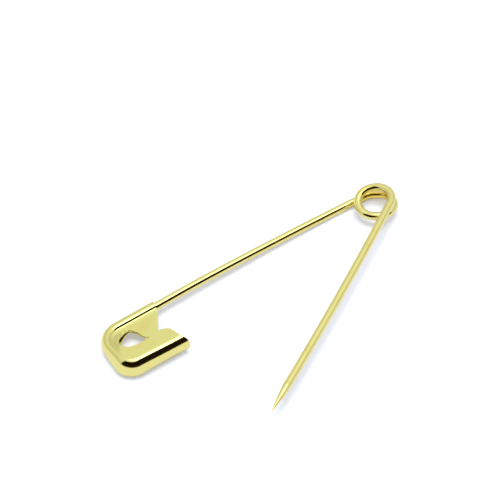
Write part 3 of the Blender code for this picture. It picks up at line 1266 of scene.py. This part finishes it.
@dataclass(frozen=True)
class Studio:
    """A white table under a wide overhead softbox, with the room's dark side by the camera.

    Directions are given on the photograph's table, as an angle from its +X
    towards its +Y and a height above it.

    Attributes:
        view: The photograph's camera, for its table.
        floor_size: Width of the table.
        floor_gap: How far it lies below the pin.
        floor_roughness: Roughness of the table.
        floor_colour: Colour of the table.
        floor_lift: Light that only the camera sees on it, as in an overexposed picture.
        mirrored: How much of that light shows in the metal.
        surround: Brightness of the white surround in reflections.
        surround_low: Its brightness near the table.
        surround_rise: Heights between which it brightens.
        glow: How much brighter it is round the softbox.
        glow_spread: How far that goes from the softbox's edge.
        surround_colour: Its colour in reflections.
        fill: Brightness of the surround as it lights the table.
        fill_colour: Colour of the surround as it lights the table.
        softbox_angle: Where the softbox seen in reflections leans to, in plan.
        softbox_height: Height of its middle.
        softbox_spread: Half of its angular width.
        softbox_light: The softbox's brightness in reflections.
        lamp_spread: Half of the angular width of the lamp that lights the table.
        lamp_light: How much light it sheds, as the brightness of a white table.
        dark_angle: Where the middle of the dark side is, in plan.
        dark_spread: Half of its angular width in plan.
        dark_low: Height at which the dark side begins.
        dark_high: Height at which it ends.
        dark_light: How bright it is.
        dark_colour: Its colour.
        edge_blur: Half of the width of the softbox's and the dark side's blurred edges.
    """

    view: PhotoView
    floor_size: float = 3.0
    floor_gap: float = 0.01 * MM
    floor_roughness: float = 0.9
    floor_colour: tuple[float, float, float, float] = (0.87, 0.89, 0.94, 1.0)
    floor_lift: tuple[float, float, float, float] = (0.25, 0.26, 0.31, 1.0)
    mirrored: float = 0.4
    surround: float = 0.95
    surround_low: float = 0.74
    surround_rise: tuple[float, float] = (math.radians(18.0), math.radians(49.0))
    glow: float = 0.22
    glow_spread: float = math.radians(20.0)
    surround_colour: tuple[float, float, float, float] = (0.955, 1.02, 1.02, 1.0)
    fill: float = 0.46
    fill_colour: tuple[float, float, float, float] = (0.93, 0.96, 1.0, 1.0)
    softbox_angle: float = math.radians(25.0)
    softbox_height: float = math.radians(76.0)
    softbox_spread: float = math.radians(16.5)
    softbox_light: float = 3.2
    lamp_spread: float = math.radians(20.0)
    lamp_light: float = 0.60
    dark_angle: float = math.radians(283.0)
    dark_spread: float = math.radians(69.0)
    dark_low: float = math.radians(3.0)
    dark_high: float = math.radians(63.0)
    dark_light: float = 0.012
    dark_colour: tuple[float, float, float, float] = (1.0, 0.55, 0.25, 1.0)
    edge_blur: float = math.radians(1.5)

    def build(self) -> None:
        """Make the table, the softbox and the surround."""
        self._table()
        self._softbox()
        self._surround()

    def _table(self) -> None:
        """A plain white table, a hair below the pin."""
        half = self.floor_size / 2
        low = -self.floor_gap
        corners = [(-half, -half, low), (half, -half, low), (half, half, low), (-half, half, low)]
        mesh = bpy.data.meshes.new("table_top")
        mesh.from_pydata(corners, [], [(0, 1, 2, 3)])
        made = bpy.data.materials.new("white_table")
        made.use_nodes = True
        graph = Graph(made.node_tree)
        plain = {
            "Base Color": self.floor_colour,
            "Roughness": self.floor_roughness,
            "Specular IOR Level": 0.0,
            "Emission Strength": 1.0,
        }
        shader = graph.add("ShaderNodeBsdfPrincipled", None, plain)
        path = graph.add("ShaderNodeLightPath")
        seen = graph.signal(path, "Is Camera Ray") + graph.signal(path, "Is Glossy Ray") * self.mirrored
        lift = graph.colour_mix(seen, (0.0, 0.0, 0.0, 1.0), self.floor_lift)
        graph.feed(shader.inputs["Emission Color"], lift)
        graph.add("ShaderNodeOutputMaterial", None, {"Surface": shader.outputs[0]})
        mesh.materials.append(made)
        link("table_top", mesh)

    def _softbox(self) -> None:
        """The lamp that lights the table from straight overhead."""
        data = bpy.data.lights.new("softbox", "SUN")
        data.angle = self.lamp_spread * 2
        data.energy = math.pi * self.lamp_light
        link("softbox", data).visible_glossy = False

    def _surround(self) -> None:
        """The white surround, seen pure white, with its dark side in reflections."""
        world = bpy.data.worlds.new("surround")
        bpy.context.scene.world = world
        world.use_nodes = True
        graph = Graph(world.node_tree)
        direction = graph.add("ShaderNodeTexCoord").outputs["Generated"]
        height = self._along(graph, direction, Vector((0.0, 0.0, 1.0))).arcsine()
        edge = self.edge_blur
        towards = heading(self.softbox_angle - self.view.turn, self.softbox_height)
        near = self._along(graph, direction, towards).arcsine()
        rim = math.pi / 2 - self.softbox_spread
        softbox = near.over(rim - edge, rim + edge)
        dark = self._dark_side(graph, direction, height)
        risen = height.over(*self.surround_rise)
        plain = self.surround_low + risen * (self.surround - self.surround_low)
        plain = plain + near.over(rim - self.glow_spread, rim) * self.glow
        plain = plain + dark * (self.dark_light - plain)
        seen = plain + softbox * (self.softbox_light - plain)
        path = graph.add("ShaderNodeLightPath")
        glossy = graph.signal(path, "Is Glossy Ray")
        camera = graph.signal(path, "Is Camera Ray")
        lit = self.fill + glossy * (seen - self.fill)
        strength = lit + camera * (1.0 - lit)
        colour = graph.colour_mix(camera, self.fill_colour, (1.0, 1.0, 1.0, 1.0))
        colour = graph.colour_mix(glossy, colour, self.surround_colour)
        colour = graph.colour_mix(glossy * dark, colour, self.dark_colour)
        back = graph.add("ShaderNodeBackground", None, {"Color": colour, "Strength": strength})
        graph.add("ShaderNodeOutputWorld", None, {"Surface": back.outputs[0]})

    def _dark_side(self, graph: Graph, direction: bpy.types.NodeSocket, height: Signal) -> Signal:
        """The dark side of the surround.

        Args:
            graph: The world's nodes.
            direction: The direction that is looked in.
            height: Its height above the table, as an angle.

        Returns:
            1 in the dark side and 0 outside it.
        """
        middle = self.dark_angle - self.view.turn
        ahead = self._along(graph, direction, heading(middle))
        aside = self._along(graph, direction, heading(middle + math.pi / 2))
        edge = self.edge_blur
        off = aside.turned_from(ahead).absolute()
        inside = 1.0 - off.over(self.dark_spread - edge, self.dark_spread + edge)
        above = height.over(self.dark_low - edge, self.dark_low + edge)
        below = 1.0 - height.over(self.dark_high - edge, self.dark_high + edge)
        return inside * above * below

    def _along(self, graph: Graph, direction: bpy.types.NodeSocket, towards: Vector) -> Signal:
        """How far a direction goes towards another."""
        return graph.signal(graph.vector("DOT_PRODUCT", direction, tuple(towards)), "Value")


# The whole pin

WIRE = WireSweep(radius=0.675 * MM, sides=64)
WIRE_FINISH = BrassFinish(
    name="drawn_brass_plating",
    grain=Grain.DRAWN,
    colour=(0.835, 0.725, 0.272, 1.0),
    tarnish=(0.790, 0.635, 0.200, 1.0),
    roughness=0.09,
    dulled=0.07,
    mark_width=0.035 * MM,
    mark_length=60.0,
    mark_depth=0.0008 * MM,
    ripple_width=0.45 * MM,
    ripple_depth=0.0015 * MM,
)
SHEET_FINISH = BrassFinish(
    name="rolled_brass_plating",
    grain=Grain.ROLLED,
    colour=(0.820, 0.730, 0.262, 1.0),
    tarnish=(0.800, 0.665, 0.210, 1.0),
    roughness=0.09,
    dulled=0.07,
    mark_width=0.04 * MM,
    mark_length=40.0,
    mark_depth=0.0008 * MM,
    ripple_width=0.6 * MM,
    ripple_depth=0.0015 * MM,
)


@dataclass(frozen=True)
class SafetyPin:
    """The open pin.

    Attributes:
        coil: The spring coil.
        needle: The needle arm.
        arm: The fixed arm.
        clasp: The folded clasp.
    """

    coil: SpringCoil = SpringCoil(WIRE)
    needle: Needle = Needle(WIRE)
    arm: FixedArm = FixedArm(WIRE)
    clasp: SheetClasp = SheetClasp(WIRE)

    def build(self, origin: Vector) -> Iterable[bpy.types.Object]:
        """Build every piece in order.

        Args:
            origin: The pin's own origin, in the part's frame.

        Yields:
            Each finished piece.
        """
        wire = WIRE_FINISH.material()
        sheet = SHEET_FINISH.material()
        # The coil's wire carries the painted reflection between its turns.
        yield self.coil.build(origin, WIRE_FINISH.material(PaintedCoilReflection(origin)))
        yield self.needle.build(origin, self.coil, wire)
        yield self.arm.build(origin, self.coil, wire)
        yield self.clasp.build(origin, self.arm.mouth(self.coil), sheet)


def main() -> None:
    """Build the pin and its studio in order."""
    logging.basicConfig(level=logging.INFO, format="%(name)s: %(message)s")
    bpy.context.scene.view_settings.view_transform = "Standard"
    origin = coil_axis_on_table()
    view = PhotoView()
    view.build(origin)
    for piece in SafetyPin().build(origin):
        log.info("%s: %d faces", piece.name, len(piece.data.polygons))
    Studio(view).build()


if __name__ == "__main__":
    main()
